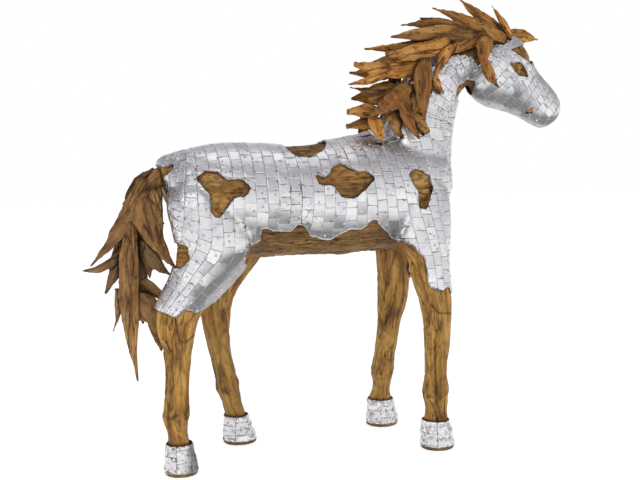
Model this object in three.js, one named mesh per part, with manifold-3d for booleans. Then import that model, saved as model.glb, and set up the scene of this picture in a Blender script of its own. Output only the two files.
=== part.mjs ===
// A standing horse built of teak branches and driftwood. One carved trunk carries the torso,
// neck and head, four separate logs are the legs, and loose pointed pieces of driftwood make
// the mane, ears and tail. A coat of thin metal tiles covers the upper body and leaves patches
// of bare wood, and each hoof has a metal cap over its wooden sole.
//
// Millimetres. +X runs towards the head, +Y to the horse's left, +Z up from the floor.
import * as THREE from "three";
import { mergeVertices } from "three/addons/utils/BufferGeometryUtils.js";
import Module from "manifold-3d";

const wasm = await Module();
wasm.setup();

// Driving dimensions.
const CLEARANCE = 0.3; // left between two pieces that touch
const TILE_THICKNESS = 3; // the coat of metal tiles
const CAP_THICKNESS = 3.5; // the metal cap round a hoof
const SOLE_HEIGHT = 9; // bare wooden sole under each cap
const TRUNK_SIDES = 12; // flats round the torso, neck and head
const LEG_SIDES = 10; // flats round a leg
const LOCK_SIDES = 5; // flats round a piece of driftwood
const CREST_BED = 44; // half width of the bare strip that the mane stands on
const FAR_OUT = 600; // further than any part of the horse

const wood = new THREE.MeshStandardMaterial({ color: 0x96682f, roughness: 0.75, metalness: 0 });
const darkWood = new THREE.MeshStandardMaterial({ color: 0x7d5228, roughness: 0.8, metalness: 0 });
const metal = new THREE.MeshStandardMaterial({ color: 0xc9c8cc, roughness: 0.3, metalness: 1 });

// ---------------------------------------------------------------- solids

function solidOf(geometry) {
  const bare = geometry.clone();
  for (const name of Object.keys(bare.attributes)) {
    if (name !== "position") bare.deleteAttribute(name);
  }
  const merged = mergeVertices(bare, 1e-3);
  const solid = new wasm.Manifold(
    new wasm.Mesh({
      numProp: 3,
      vertProperties: merged.attributes.position.array,
      triVerts: new Uint32Array(merged.index.array),
    }),
  );
  if (solid.volume() < 0) throw new Error("a solid is inside out");
  return solid;
}

function geometryOf(solid) {
  const mesh = solid.getMesh();
  const geometry = new THREE.BufferGeometry();
  geometry.setAttribute("position", new THREE.BufferAttribute(mesh.vertProperties, mesh.numProp));
  geometry.setIndex(new THREE.BufferAttribute(mesh.triVerts, 1));
  return geometry;
}

const joined = (solids) => solids.reduce((sum, solid) => sum.add(solid));

// A cut can leave a chip behind a neighbour; the piece itself is the largest part.
function largest(solid) {
  return solid.decompose().reduce((best, part) => (part.volume() > best.volume() ? part : best));
}

// A closed body lofted through oval rings, from the first to the last. A ring has its centre
// `at`, the vector `deep` from there to its edge in the horse's fore-and-aft plane, and the half
// size `wide` across the horse. `grow` swells every ring and moves both ends outwards.
function limb(rings, sides, grow = 0) {
  const positions = [];
  const index = [];
  const last = rings.length - 1;
  const centres = rings.map(({ at }) => at.clone());
  centres[0].addScaledVector(rings[0].at.clone().sub(rings[1].at).normalize(), grow);
  centres[last].addScaledVector(rings[last].at.clone().sub(rings[last - 1].at).normalize(), grow);
  rings.forEach(({ deep, wide }, i) => {
    const edge = deep.clone().setLength(deep.length() + grow);
    for (let j = 0; j < sides; j++) {
      const a = (2 * Math.PI * j) / sides;
      const point = centres[i].clone().addScaledVector(edge, Math.cos(a));
      point.y += (wide + grow) * Math.sin(a);
      positions.push(...point);
    }
  });
  positions.push(...centres[0], ...centres[last]);
  const capCentre = sides * rings.length;
  const lastRing = sides * last;
  for (let j = 0; j < sides; j++) {
    const k = (j + 1) % sides;
    for (let i = 0; i < lastRing; i += sides) {
      index.push(i + j, i + k, i + sides + k, i + j, i + sides + k, i + sides + j);
    }
    index.push(capCentre, k, j, capCentre + 1, lastRing + j, lastRing + k);
  }
  const geometry = new THREE.BufferGeometry();
  geometry.setAttribute("position", new THREE.Float32BufferAttribute(positions, 3));
  geometry.setIndex(index);
  return solidOf(geometry);
}

// A prism across the horse over a side-view outline [[x, z], ...], from fromY to toY (fromY < toY).
// `grow` moves each point of the outline outwards.
function sideCut(outline, fromY, toY, grow = 0) {
  const points = outline.map(([x, z]) => new THREE.Vector2(x, z));
  const centre = points.reduce((sum, p) => sum.add(p), new THREE.Vector2());
  centre.divideScalar(points.length);
  for (const point of points) {
    point.addScaledVector(point.clone().sub(centre).normalize(), grow);
  }
  const geometry = new THREE.ExtrudeGeometry(new THREE.Shape(points), {
    depth: toY - fromY,
    bevelEnabled: false,
    steps: 1,
  });
  geometry.rotateX(Math.PI / 2); // the outline's y becomes z, and its depth runs towards -Y
  geometry.translate(0, toY, 0);
  return solidOf(geometry);
}

function boxCut([x0, x1], [y0, y1], [z0, z1], grow = 0) {
  const geometry = new THREE.BoxGeometry(
    x1 - x0 + 2 * grow,
    y1 - y0 + 2 * grow,
    z1 - z0 + 2 * grow,
  );
  geometry.translate((x0 + x1) / 2, (y0 + y1) / 2, (z0 + z1) / 2);
  return solidOf(geometry);
}

// ---------------------------------------------------------------- trunk

// A torso ring, from the underside and the back line.
const barrel = (x, under, back, wide) => ({
  at: new THREE.Vector3(x, 0, (under + back) / 2),
  deep: new THREE.Vector3(0, 0, (under - back) / 2),
  wide,
});
const torsoStations = [
  barrel(-592, 1050, 1094, 40),
  barrel(-558, 930, 1110, 98),
  barrel(-500, 826, 1128, 158),
  barrel(-420, 750, 1150, 192),
  barrel(-290, 722, 1160, 200),
  barrel(-130, 733, 1145, 192),
  barrel(40, 724, 1164, 196),
  barrel(240, 726, 1192, 188),
  barrel(380, 765, 1180, 170),
  barrel(475, 828, 1150, 142),
  barrel(514, 885, 1115, 98),
  barrel(532, 945, 1060, 45),
];

// A neck ring, from its throat side and its crest.
function neckRing([frontX, frontZ], [crestX, crestZ], wide) {
  const front = new THREE.Vector3(frontX, 0, frontZ);
  const crest = new THREE.Vector3(crestX, 0, crestZ);
  const at = front.clone().lerp(crest, 0.5);
  return { at, deep: front.sub(at), wide };
}
const neckStations = [
  neckRing([530, 960], [240, 1075], 120),
  neckRing([544, 1120], [235, 1185], 122),
  neckRing([555, 1220], [272, 1285], 104),
  neckRing([576, 1305], [326, 1390], 90),
  neckRing([612, 1375], [408, 1474], 80),
  neckRing([655, 1402], [525, 1538], 73),
  neckRing([715, 1415], [650, 1568], 66),
];

// The head lies along its own axis from the poll to the lips. A ring is given by its distance
// along the axis, and by the face line and jaw line, measured square to the axis.
const POLL = new THREE.Vector3(740, 0, 1490);
const HEAD_PITCH = THREE.MathUtils.degToRad(-39.6);
const headAlong = new THREE.Vector3(Math.cos(HEAD_PITCH), 0, Math.sin(HEAD_PITCH));
const headUp = new THREE.Vector3(-Math.sin(HEAD_PITCH), 0, Math.cos(HEAD_PITCH));
const headPoint = (along, up, y = 0) =>
  POLL.clone().addScaledVector(headAlong, along).addScaledVector(headUp, up).setY(y);
const headRing = (along, jaw, face, wide) => ({
  at: headPoint(along, (jaw + face) / 2),
  deep: headUp.clone().multiplyScalar((jaw - face) / 2),
  wide,
});
const headStations = [
  headRing(-56, -95, 25, 30),
  headRing(-36, -148, 78, 62),
  headRing(18, -180, 122, 82),
  headRing(78, -178, 127, 86),
  headRing(128, -156, 98, 78),
  headRing(185, -122, 81, 56),
  headRing(255, -96, 80, 50),
  headRing(320, -82, 70, 52),
  headRing(352, -66, 50, 44),
  headRing(364, -38, 22, 22),
];
const browRing = (along, up, y, size) => ({
  at: headPoint(along, up, y),
  deep: headUp.clone().multiplyScalar(-size),
  wide: size,
});
const eyeBrow = (side) => [
  browRing(50, 66, 60 * side, 10),
  browRing(88, 60, 68 * side, 20),
  browRing(126, 46, 58 * side, 10),
];

const trunk = (grow) =>
  joined([
    limb(torsoStations, TRUNK_SIDES, grow),
    limb(neckStations, TRUNK_SIDES, grow),
    limb(headStations, TRUNK_SIDES, grow),
    limb(eyeBrow(-1), LOCK_SIDES, grow),
    limb(eyeBrow(1), LOCK_SIDES, grow),
  ]);

// ---------------------------------------------------------------- legs

// A leg ring lies flat, from its back edge to its front edge.
const legRing = (z, back, front, y, wide) => ({
  at: new THREE.Vector3((back + front) / 2, y, z),
  deep: new THREE.Vector3((back - front) / 2, 0, 0),
  wide,
});
// The hoof flares from the coronet down to the sole.
const hoof = (back, front, y, wide, slope = 26) => [
  legRing(112, back + 8, front - slope, y, wide - 10),
  legRing(60, back + 3, front - 0.4 * slope, y, wide - 3),
  legRing(SOLE_HEIGHT, back, front, y, wide),
  legRing(0, back + 2, front - 2, y, wide - 2),
];
const legs = {
  hind_right: {
    stations: [
      legRing(1030, -530, -380, -92, 48),
      legRing(965, -588, -318, -106, 80),
      legRing(880, -578, -292, -122, 84),
      legRing(800, -560, -290, -134, 80),
      legRing(745, -568, -300, -138, 74),
      legRing(690, -588, -334, -138, 66),
      legRing(625, -624, -410, -135, 60),
      legRing(575, -641, -472, -132, 56),
      legRing(510, -634, -488, -129, 51),
      legRing(440, -612, -501, -127, 47),
      legRing(350, -603, -514, -126, 43),
      legRing(225, -613, -515, -125, 46),
      legRing(190, -613, -518, -124, 45),
      legRing(150, -599, -523, -123, 37),
    ],
    hoof: hoof(-608, -488, -122, 56),
  },
  hind_left: {
    stations: [
      legRing(1030, -450, -300, 92, 48),
      legRing(960, -510, -215, 108, 82),
      legRing(880, -518, -172, 122, 84),
      legRing(800, -498, -146, 134, 80),
      legRing(740, -465, -150, 140, 74),
      legRing(670, -445, -206, 144, 66),
      legRing(605, -438, -262, 146, 60),
      legRing(540, -428, -292, 148, 54),
      legRing(450, -409, -301, 149, 48),
      legRing(340, -380, -290, 150, 42),
      legRing(265, -364, -272, 150, 44),
      legRing(212, -358, -261, 150, 46),
      legRing(165, -338, -253, 150, 38),
    ],
    hoof: hoof(-330, -196, 150, 58, 42),
  },
  fore_right: {
    stations: [
      legRing(1060, 330, 450, -90, 38),
      legRing(990, 284, 488, -104, 62),
      legRing(900, 272, 490, -122, 66),
      legRing(800, 280, 484, -140, 62),
      legRing(720, 302, 472, -150, 59),
      legRing(650, 314, 477, -156, 58),
      legRing(590, 338, 482, -160, 56),
      legRing(530, 355, 487, -164, 56),
      legRing(445, 365, 479, -167, 51),
      legRing(320, 371, 464, -170, 44),
      legRing(228, 364, 473, -170, 50),
      legRing(190, 368, 467, -170, 46),
      legRing(150, 378, 463, -170, 40),
    ],
    hoof: hoof(360, 494, -170, 60),
  },
  fore_left: {
    stations: [
      legRing(1060, 320, 440, 90, 38),
      legRing(990, 272, 484, 104, 62),
      legRing(900, 262, 494, 122, 66),
      legRing(800, 278, 482, 142, 62),
      legRing(720, 302, 470, 154, 60),
      legRing(640, 316, 466, 161, 60),
      legRing(520, 319, 460, 168, 58),
      legRing(440, 322, 430, 171, 52),
      legRing(350, 319, 414, 173, 46),
      legRing(290, 309, 403, 174, 44),
      legRing(230, 295, 402, 175, 48),
      legRing(190, 307, 389, 175, 42),
      legRing(145, 308, 380, 175, 38),
    ],
    hoof: hoof(280, 416, 175, 60),
  },
};
const legLoft = ({ stations, hoof: ends }, grow = 0) =>
  limb([...stations, ...ends], LEG_SIDES, grow);

// ---------------------------------------------------------------- coat of tiles

// Everything is seen from the horse's right side. The coat ends above these lines, and below
// them the belly, the legs and the insides of the thighs are bare wood.
const hemRight = [
  [-FAR_OUT - 200, 595], [-645, 600], [-573, 566], [-545, 598], [-503, 582], [-437, 612],
  [-318, 728], [-338, 764], [-318, 796], [-271, 812], [-263, 874], [-224, 851], [-165, 848],
  [-124, 878], [-83, 828], [-7, 812], [60, 846], [110, 850], [160, 880], [247, 806],
  [300, 790], [349, 739], [370, 626], [417, 610], [447, 628], [475, 592], [FAR_OUT, 590],
  [FAR_OUT, -50], [-FAR_OUT - 200, -50],
];
const hemLeft = [
  [-FAR_OUT - 200, 620], [-470, 640], [-425, 600], [-380, 628], [-330, 600], [-255, 640],
  [-160, 742], [-150, 800], [-100, 850], [-40, 822], [40, 862], [120, 830], [200, 850],
  [262, 815], [330, 722], [384, 640], [430, 652], [470, 600], [FAR_OUT, 600],
  [FAR_OUT, -50], [-FAR_OUT - 200, -50],
];
// Patches of bare wood, right side and left side.
const patchesRight = {
  rump: [
    [-494, 1040], [-459, 1064], [-417, 1062], [-390, 1030], [-341, 1036], [-303, 1005],
    [-322, 970], [-372, 966], [-405, 915], [-428, 893], [-452, 919], [-446, 975],
  ],
  flank: [
    [-76, 1058], [-30, 1034], [7, 1073], [46, 1084], [88, 1060], [134, 1058],
    [168, 1027], [127, 995], [73, 954], [27, 962], [0, 1001], [-55, 1008],
  ],
  shoulder: [
    [299, 1048], [330, 1062], [358, 1054], [386, 1036], [400, 990], [384, 955], [366, 908],
    [336, 914], [334, 975], [305, 1012],
  ],
  buttock: [
    [-640, 815], [-565, 820], [-526, 806], [-524, 765], [-546, 733], [-640, 730],
  ],
  breast: [[540, 1010], [494, 975], [486, 930], [506, 890], [590, 880], [590, 1000]],
  nape: [[380, 1364], [428, 1366], [424, 1330], [376, 1320]],
};
const patchesLeft = {
  rump: [
    [-460, 1020], [-420, 1056], [-352, 1036], [-296, 1056], [-262, 1015], [-300, 962],
    [-352, 985], [-410, 952],
  ],
  shoulder: [[300, 1030], [342, 1058], [388, 1010], [372, 930], [334, 920]],
};
const saddle = [
  [-146, 1190], [-140, 1126], [-118, 1102], [-74, 1098], [-20, 1122], [24, 1150], [30, 1200],
];
const throat = [[640, 1402], [581, 1398], [541, 1364], [536, 1340], [553, 1314], [640, 1314]];
// Outlines on the head, each point by its distance along the axis and above it.
const headOutline = (points) =>
  points.map(([along, up]) => headPoint(along, up)).map((point) => [point.x, point.z]);
const forehead = headOutline([
  [6, 39], [30, 69], [52, 98], [62, 150], [140, 130], [124, 56], [91, 51], [52, 44],
]);
const eye = headOutline([[36, -8], [71, 30], [106, 27], [142, 11], [99, -17], [67, -17]]);
// A small flower of four lobes near the mouth.
const inlayPoints = [];
for (let i = 0; i < 8; i++) {
  const angle = (Math.PI * i) / 4;
  const reach = i % 2 ? 12 : 19;
  inlayPoints.push([244 + reach * Math.sin(angle), -67 + reach * Math.cos(angle)]);
}
const inlay = headOutline(inlayPoints);

// The mane stands on a strip of bare wood along the crest.
const crestRings = neckStations.slice(1).map(({ at, deep }) => ({
  at: at.clone().sub(deep),
  deep: deep.clone().setLength(CREST_BED),
  wide: CREST_BED,
}));

function coatCuts(grow) {
  const cuts = [
    sideCut(hemRight, -FAR_OUT, 1),
    sideCut(hemLeft, 0, FAR_OUT),
    boxCut([-FAR_OUT - 200, FAR_OUT], [-108, 112], [-50, 800]), // belly and inner thighs
    boxCut([-FAR_OUT - 200, -520], [-62, 62], [500, 1075]), // cleft behind the thighs
    sideCut(saddle, -FAR_OUT, 60, grow),
    sideCut(throat, -100, 20, grow),
    sideCut(forehead, -100, 100, grow),
    sideCut(eye, -FAR_OUT, -20, grow),
    sideCut(eye, 20, FAR_OUT, grow),
    sideCut(inlay, -FAR_OUT, -10, grow),
    sideCut(inlay, 10, FAR_OUT, grow),
    limb(crestRings, LOCK_SIDES, grow),
  ];
  for (const outline of Object.values(patchesRight)) {
    cuts.push(sideCut(outline, -FAR_OUT, -30, grow));
  }
  for (const outline of Object.values(patchesLeft)) {
    cuts.push(sideCut(outline, 30, FAR_OUT, grow));
  }
  return joined(cuts);
}

// ---------------------------------------------------------------- driftwood pieces

// A driftwood piece runs from its thick root to its point. In side view it leaves `root` [x, z] at
// `aim` degrees (0 forwards, 90 up, 180 back), for `length`, and bows sideways by `bow`.
// `y` is [root, tip]; the piece lies flat against the neck or stands on the crest.
function stick({ root, aim, length, bow = 0, width, y, thick = 0.5, blunt = 0.12 }, grow = 0) {
  const angle = THREE.MathUtils.degToRad(aim);
  const start = new THREE.Vector3(root[0], y[0], root[1]);
  const reach = new THREE.Vector3(Math.cos(angle), 0, Math.sin(angle)).multiplyScalar(length);
  reach.y = y[1] - y[0];
  const bend = new THREE.Vector3(-Math.sin(angle), 0, Math.cos(angle));
  // Share of the length, and of the width there.
  const shape = [[0, 0.6], [0.2, 0.95], [0.45, 1], [0.75, 0.62], [1, blunt]];
  const rings = shape.map(([t, swell]) => {
    const at = start.clone().addScaledVector(reach, t).addScaledVector(bend, 4 * bow * t * (1 - t));
    const half = (width / 2) * swell;
    return { at, deep: bend.clone().multiplyScalar(-half), wide: Math.max(half * thick, 3) };
  });
  return limb(rings, LOCK_SIDES, grow);
}
const driftwood = (prongs, grow = 0) => joined(prongs.map((prong) => stick(prong, grow)));

// Outer pieces come first: the ones under them are cut to fit.
const mane = {
  cheek_lock: [
    { root: [664, 1556], aim: -104, length: 120, bow: -16, width: 78, y: [-92, -112], blunt: 0.5 },
    { root: [632, 1470], aim: -60, length: 128, bow: -8, width: 54, y: [-108, -124] },
  ],
  fork: [
    { root: [318, 1362], aim: -144, length: 200, bow: 8, width: 80, y: [-128, -112] },
    { root: [296, 1350], aim: -75, length: 190, bow: -24, width: 66, y: [-126, -158] },
  ],
  long_drop: [{ root: [386, 1462], aim: -93, length: 230, bow: -12, width: 86, y: [-118, -142] }],
  throat_drop: [
    { root: [524, 1520], aim: -127, length: 178, bow: -18, width: 58, y: [-104, -122], blunt: 0.45 },
    { root: [432, 1400], aim: -62, length: 74, bow: -10, width: 34, y: [-112, -114] },
  ],
  smooth_blade: [
    { root: [492, 1530], aim: -168, length: 262, bow: 20, width: 82, y: [-100, -88], blunt: 0.3 },
  ],
  swept_blade: [{ root: [600, 1560], aim: 183, length: 332, bow: -6, width: 72, y: [-86, -62] }],
  upper_blade: [{ root: [590, 1572], aim: 176, length: 270, bow: -14, width: 66, y: [-62, -34] }],
  crown: [{ root: [756, 1552], aim: 160, length: 322, bow: -4, width: 66, y: [-60, -24] }],
  forelock: [{ root: [780, 1572], aim: 146, length: 240, bow: 4, width: 60, y: [-26, 0] }],
  rough_branch: [
    { root: [412, 1450], aim: -178, length: 290, bow: 26, width: 86, y: [-92, -52], blunt: 0.3 },
    { root: [258, 1410], aim: -164, length: 160, bow: 6, width: 42, y: [-74, -50] },
  ],
  leaf: [{ root: [184, 1252], aim: -74, length: 98, bow: 2, width: 66, y: [-92, -122] }],
  stub: [
    { root: [212, 1266], aim: 180, length: 116, bow: -4, width: 58, y: [-84, -62], blunt: 0.45 },
  ],
  dark_splinter: [{ root: [360, 1366], aim: -178, length: 242, bow: 18, width: 50, y: [-56, -26] }],
  shadow_blade: [{ root: [350, 1352], aim: -166, length: 196, bow: 10, width: 76, y: [-96, -66] }],
  back_blade: [{ root: [520, 1548], aim: -172, length: 346, bow: 14, width: 56, y: [-52, -18] }],
  short_drop: [{ root: [352, 1338], aim: -86, length: 128, bow: 2, width: 62, y: [-106, -118] }],
  heel: [
    { root: [318, 1262], aim: -48, length: 98, bow: 4, width: 50, y: [-124, -150], blunt: 0.5 },
  ],
  root_block: [
    { root: [300, 1276], aim: -100, length: 100, bow: -30, width: 72, y: [-100, -130], blunt: 0.5 },
  ],
  bridge_piece: [{ root: [664, 1566], aim: -156, length: 196, bow: -4, width: 66, y: [-76, -88] }],
  low_knob: [
    { root: [216, 1236], aim: -168, length: 118, bow: 2, width: 58, y: [-62, -40], blunt: 0.45 },
  ],
  far_crown: [{ root: [740, 1570], aim: 168, length: 300, bow: -6, width: 72, y: [40, 62] }],
  far_blade_1: [{ root: [640, 1568], aim: -172, length: 310, bow: 12, width: 82, y: [72, 84] }],
  far_blade_2: [{ root: [520, 1528], aim: -165, length: 300, bow: 14, width: 88, y: [86, 76] }],
  far_blade_3: [{ root: [420, 1464], aim: -170, length: 270, bow: 16, width: 88, y: [88, 70] }],
  far_blade_4: [{ root: [350, 1372], aim: -164, length: 190, bow: 10, width: 84, y: [92, 78] }],
  far_drop_1: [{ root: [470, 1510], aim: -112, length: 210, bow: 12, width: 80, y: [96, 126] }],
  far_drop_2: [{ root: [366, 1420], aim: -100, length: 230, bow: 10, width: 84, y: [104, 142] }],
  far_drop_3: [{ root: [268, 1300], aim: -110, length: 150, bow: 8, width: 84, y: [110, 132] }],
};
const ears = {
  ear_right: [{ root: [790, 1560], aim: 129, length: 154, bow: -4, width: 42, y: [-46, -54] }],
  ear_left: [{ root: [826, 1582], aim: -5, length: 150, bow: 4, width: 68, y: [42, 52] }],
};
const tail = {
  dock: [
    { root: [-528, 1070], aim: 216, length: 165, bow: -2, width: 84, y: [-16, -16], blunt: 0.45 },
  ],
  outer_sweep: [{ root: [-646, 1036], aim: 238, length: 356, bow: 24, width: 68, y: [-24, -40] }],
  leaf: [
    { root: [-616, 998], aim: -81, length: 236, bow: -35, width: 120, y: [-38, -56], blunt: 0.3 },
    { root: [-606, 812], aim: -56, length: 114, bow: -7, width: 40, y: [-50, -50] },
  ],
  fork: [
    { root: [-650, 818], aim: -54, length: 162, bow: -16, width: 62, y: [-24, -36] },
    { root: [-652, 818], aim: -81, length: 140, bow: 6, width: 54, y: [-24, -24] },
  ],
  long_drop: [
    { root: [-692, 886], aim: -89, length: 566, bow: -18, width: 80, y: [-36, -40], thick: 0.6 },
  ],
  curl: [{ root: [-712, 808], aim: 212, length: 174, bow: 36, width: 48, y: [-8, -8], thick: 0.6 }],
  rough_side: [{ root: [-710, 864], aim: 253, length: 246, bow: 14, width: 68, y: [0, 2] }],
  spur: [{ root: [-744, 650], aim: 264, length: 156, bow: 14, width: 36, y: [-8, -8] }],
  broad_fin: [
    { root: [-694, 612], aim: -34, length: 156, width: 112, y: [-14, -34], blunt: 0.6, thick: 0.35 },
    { root: [-612, 592], aim: -84, length: 174, bow: -4, width: 76, y: [-26, -30], thick: 0.4 },
  ],
  cap: [{ root: [-596, 1058], aim: 227, length: 168, bow: -14, width: 58, y: [8, 10], blunt: 0.3 }],
  stub: [{ root: [-612, 934], aim: -60, length: 78, bow: 2, width: 36, y: [-8, 0], blunt: 0.4 }],
  inner_drop: [{ root: [-650, 902], aim: -90, length: 390, bow: -18, width: 98, y: [20, 20] }],
  inner_side: [{ root: [-664, 850], aim: -85, length: 280, bow: -2, width: 84, y: [42, 46] }],
  under_fin: [{ root: [-678, 682], aim: -38, length: 150, width: 58, y: [14, 6], blunt: 0.5 }],
};

// ---------------------------------------------------------------- assembly

const horse = new THREE.Group();
horse.name = "driftwood_horse";

function place(name, solid, material) {
  const mesh = new THREE.Mesh(geometryOf(solid), material);
  mesh.name = name;
  horse.add(mesh);
}

const body = trunk(0);
place("trunk", body, wood);

const bodyRoom = trunk(CLEARANCE);
let wholeRoom = bodyRoom; // the wood of trunk and legs, with clearance
let wholeCoat = trunk(CLEARANCE + TILE_THICKNESS);
let coatRoom = trunk(2 * CLEARANCE + TILE_THICKNESS);
for (const [name, leg] of Object.entries(legs)) {
  place(`leg_${name}`, largest(legLoft(leg).subtract(bodyRoom)), wood);
  wholeRoom = wholeRoom.add(legLoft(leg, CLEARANCE));
  wholeCoat = wholeCoat.add(legLoft(leg, CLEARANCE + TILE_THICKNESS));
  coatRoom = coatRoom.add(legLoft(leg, 2 * CLEARANCE + TILE_THICKNESS));

  const band = [[-FAR_OUT - 200, FAR_OUT], [-FAR_OUT, FAR_OUT], [SOLE_HEIGHT, 110]];
  const cap = limb(leg.hoof, LEG_SIDES, CLEARANCE + CAP_THICKNESS)
    .subtract(legLoft(leg, CLEARANCE))
    .intersect(boxCut(...band));
  place(`hoof_cap_${name}`, largest(cap), metal);
}

place("tile_coat", largest(wholeCoat.subtract(wholeRoom).subtract(coatCuts(0))), metal);

let taken = wholeRoom.add(coatRoom.subtract(coatCuts(-CLEARANCE)));
for (const [kind, pieces, material] of [
  ["mane", mane, wood],
  ["", ears, wood],
  ["tail", tail, darkWood],
]) {
  for (const [name, prongs] of Object.entries(pieces)) {
    const piece = largest(driftwood(prongs).subtract(taken));
    place(kind ? `${kind}_${name}` : name, piece, material);
    taken = taken.add(driftwood(prongs, CLEARANCE));
  }
}

// The origin is on the floor, under the middle of the whole horse.
const box = new THREE.Box3().setFromObject(horse);
horse.position.set(-(box.min.x + box.max.x) / 2, -(box.min.y + box.max.y) / 2, -box.min.z);

export default horse;
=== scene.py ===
import math
import random

import bmesh
import bpy
from mathutils import Matrix, Vector, noise
from mathutils.bvhtree import BVHTree
from mathutils.kdtree import KDTree


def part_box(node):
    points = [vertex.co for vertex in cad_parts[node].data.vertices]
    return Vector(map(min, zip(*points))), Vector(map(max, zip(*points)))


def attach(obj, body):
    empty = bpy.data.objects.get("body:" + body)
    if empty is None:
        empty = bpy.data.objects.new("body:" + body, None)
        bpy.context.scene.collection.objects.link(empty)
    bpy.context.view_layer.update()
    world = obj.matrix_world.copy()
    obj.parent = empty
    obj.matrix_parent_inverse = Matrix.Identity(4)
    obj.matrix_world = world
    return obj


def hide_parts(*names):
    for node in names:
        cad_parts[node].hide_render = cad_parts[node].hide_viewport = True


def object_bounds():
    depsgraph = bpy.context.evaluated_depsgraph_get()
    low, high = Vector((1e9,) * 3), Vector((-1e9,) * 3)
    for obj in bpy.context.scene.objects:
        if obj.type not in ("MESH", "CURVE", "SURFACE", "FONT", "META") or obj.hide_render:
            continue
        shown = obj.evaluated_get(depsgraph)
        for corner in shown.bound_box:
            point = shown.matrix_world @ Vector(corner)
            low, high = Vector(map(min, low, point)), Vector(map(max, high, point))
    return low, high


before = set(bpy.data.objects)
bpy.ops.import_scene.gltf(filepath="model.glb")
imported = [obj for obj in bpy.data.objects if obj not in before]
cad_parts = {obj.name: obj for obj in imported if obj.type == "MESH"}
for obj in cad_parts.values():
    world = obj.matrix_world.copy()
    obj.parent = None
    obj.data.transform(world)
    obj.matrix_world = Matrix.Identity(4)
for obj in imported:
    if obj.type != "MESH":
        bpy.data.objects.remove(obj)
noise.seed_set(5)  # the vector noise would otherwise start from the clock
cadBox = [list(corner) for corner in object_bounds()]
floorHeight = cadBox[0][2]
centreX, centreY = -0.092, -0.0025  # the middle of the horse's own measurements, in the frame
footCorners = ("hind_right", "hind_left", "fore_right", "fore_left")
print("frame loaded", cadBox)


studio = {
    "cameraAt": (-1.272, -3.2795, 1.156),
    "cameraTurn": (84.02, 0, -20.0),
    "lens": 52.6,
    "floorSize": 30.0,
    "floorColour": (0.95, 0.95, 0.94),
    "floorGlow": 0.64,
    "zenith": {"from": 0.60, "to": 0.86, "colour": (0.40, 0.39, 0.42)},
    "sideGrey": (0.48, 0.47, 0.49),
    "rightSide": (0.66, 0.92),
    "leftSide": (-0.30, -0.80),
    "sideRise": (-0.02, 0.28),
}
lamps = {
    "keyLight": {"place": (-1.6, -3.4, 3.6), "aim": (0, 0, 0.9), "size": (3.2, 2.6), "power": 29},
    "topLight": {"place": (0.2, 0.4, 4.2), "aim": (0, 0, 0.8), "size": (3.0, 2.0), "power": 15},
}


def makeCamera():
    data = bpy.data.cameras.new("camera")
    data.lens = studio["lens"]
    camera = bpy.data.objects.new("camera", data)
    camera.location = studio["cameraAt"]
    camera.rotation_euler = [math.radians(a) for a in studio["cameraTurn"]]
    bpy.context.scene.collection.objects.link(camera)
    bpy.context.scene.camera = camera


def objectFrom(bm, name):
    mesh = bpy.data.meshes.new(name)
    bm.to_mesh(mesh)
    bm.free()
    piece = bpy.data.objects.new(name, mesh)
    bpy.context.scene.collection.objects.link(piece)
    return piece


def lamp(name, place, aim, size, power):
    data = bpy.data.lights.new(name, "AREA")
    data.shape = "RECTANGLE"
    data.size, data.size_y = size
    data.energy = power
    light = bpy.data.objects.new(name, data)
    light.location = place
    light.rotation_euler = (Vector(aim) - Vector(place)).to_track_quat("-Z", "Y").to_euler()
    bpy.context.scene.collection.objects.link(light)


def makeStudio():
    bm = bmesh.new()
    bmesh.ops.create_grid(bm, x_segments=1, y_segments=1, size=studio["floorSize"] / 2)
    bmesh.ops.translate(bm, verts=bm.verts, vec=(0, 0, floorHeight))
    floor = objectFrom(bm, "floor")
    paint, _, shader = newMaterial("floorPaint")
    shader.inputs["Base Color"].default_value = (*studio["floorColour"], 1)
    shader.inputs["Roughness"].default_value = 0.9
    shader.inputs["Emission Color"].default_value = (1, 1, 1, 1)
    shader.inputs["Emission Strength"].default_value = studio["floorGlow"]
    floor.data.materials.append(paint)

    world = bpy.data.worlds.new("studioWorld")
    world.use_nodes = True
    bpy.context.scene.world = world
    tree = world.node_tree
    background = tree.nodes["Background"]
    place = tree.nodes.new("ShaderNodeTexCoord")
    split = tree.nodes.new("ShaderNodeSeparateXYZ")
    tree.links.new(place.outputs["Generated"], split.inputs[0])
    ramp = tree.nodes.new("ShaderNodeValToRGB")
    tree.links.new(spread(tree, split.outputs["Z"], -1, 1), ramp.inputs["Fac"])
    ramp.color_ramp.elements[0].position = studio["zenith"]["from"]
    ramp.color_ramp.elements[0].color = (1, 1, 1, 1)
    ramp.color_ramp.elements[1].position = studio["zenith"]["to"]
    ramp.color_ramp.elements[1].color = (*studio["zenith"]["colour"], 1)
    # The sides are a soft grey, which the rump and the chest reflect.
    rightSide = spread(tree, split.outputs["X"], *studio["rightSide"])
    leftSide = spread(tree, split.outputs["X"], *studio["leftSide"])
    sides = maths(tree, "MAXIMUM", rightSide, leftSide)
    sides = times(tree, sides, spread(tree, split.outputs["Z"], *studio["sideRise"]))
    shade = mixColour(tree, sides, (1.0, 1.0, 1.0), studio["sideGrey"])
    sky = mixColour(tree, 1.0, ramp.outputs["Color"], shade, "MULTIPLY")
    tree.links.new(sky, background.inputs["Color"])
    for name, settings in lamps.items():
        lamp(name, **settings)
    bpy.context.scene.view_settings.view_transform = "Standard"



def newMaterial(name):
    material = bpy.data.materials.new(name)
    material.use_nodes = True
    return material, material.node_tree, material.node_tree.nodes["Principled BSDF"]


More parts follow.
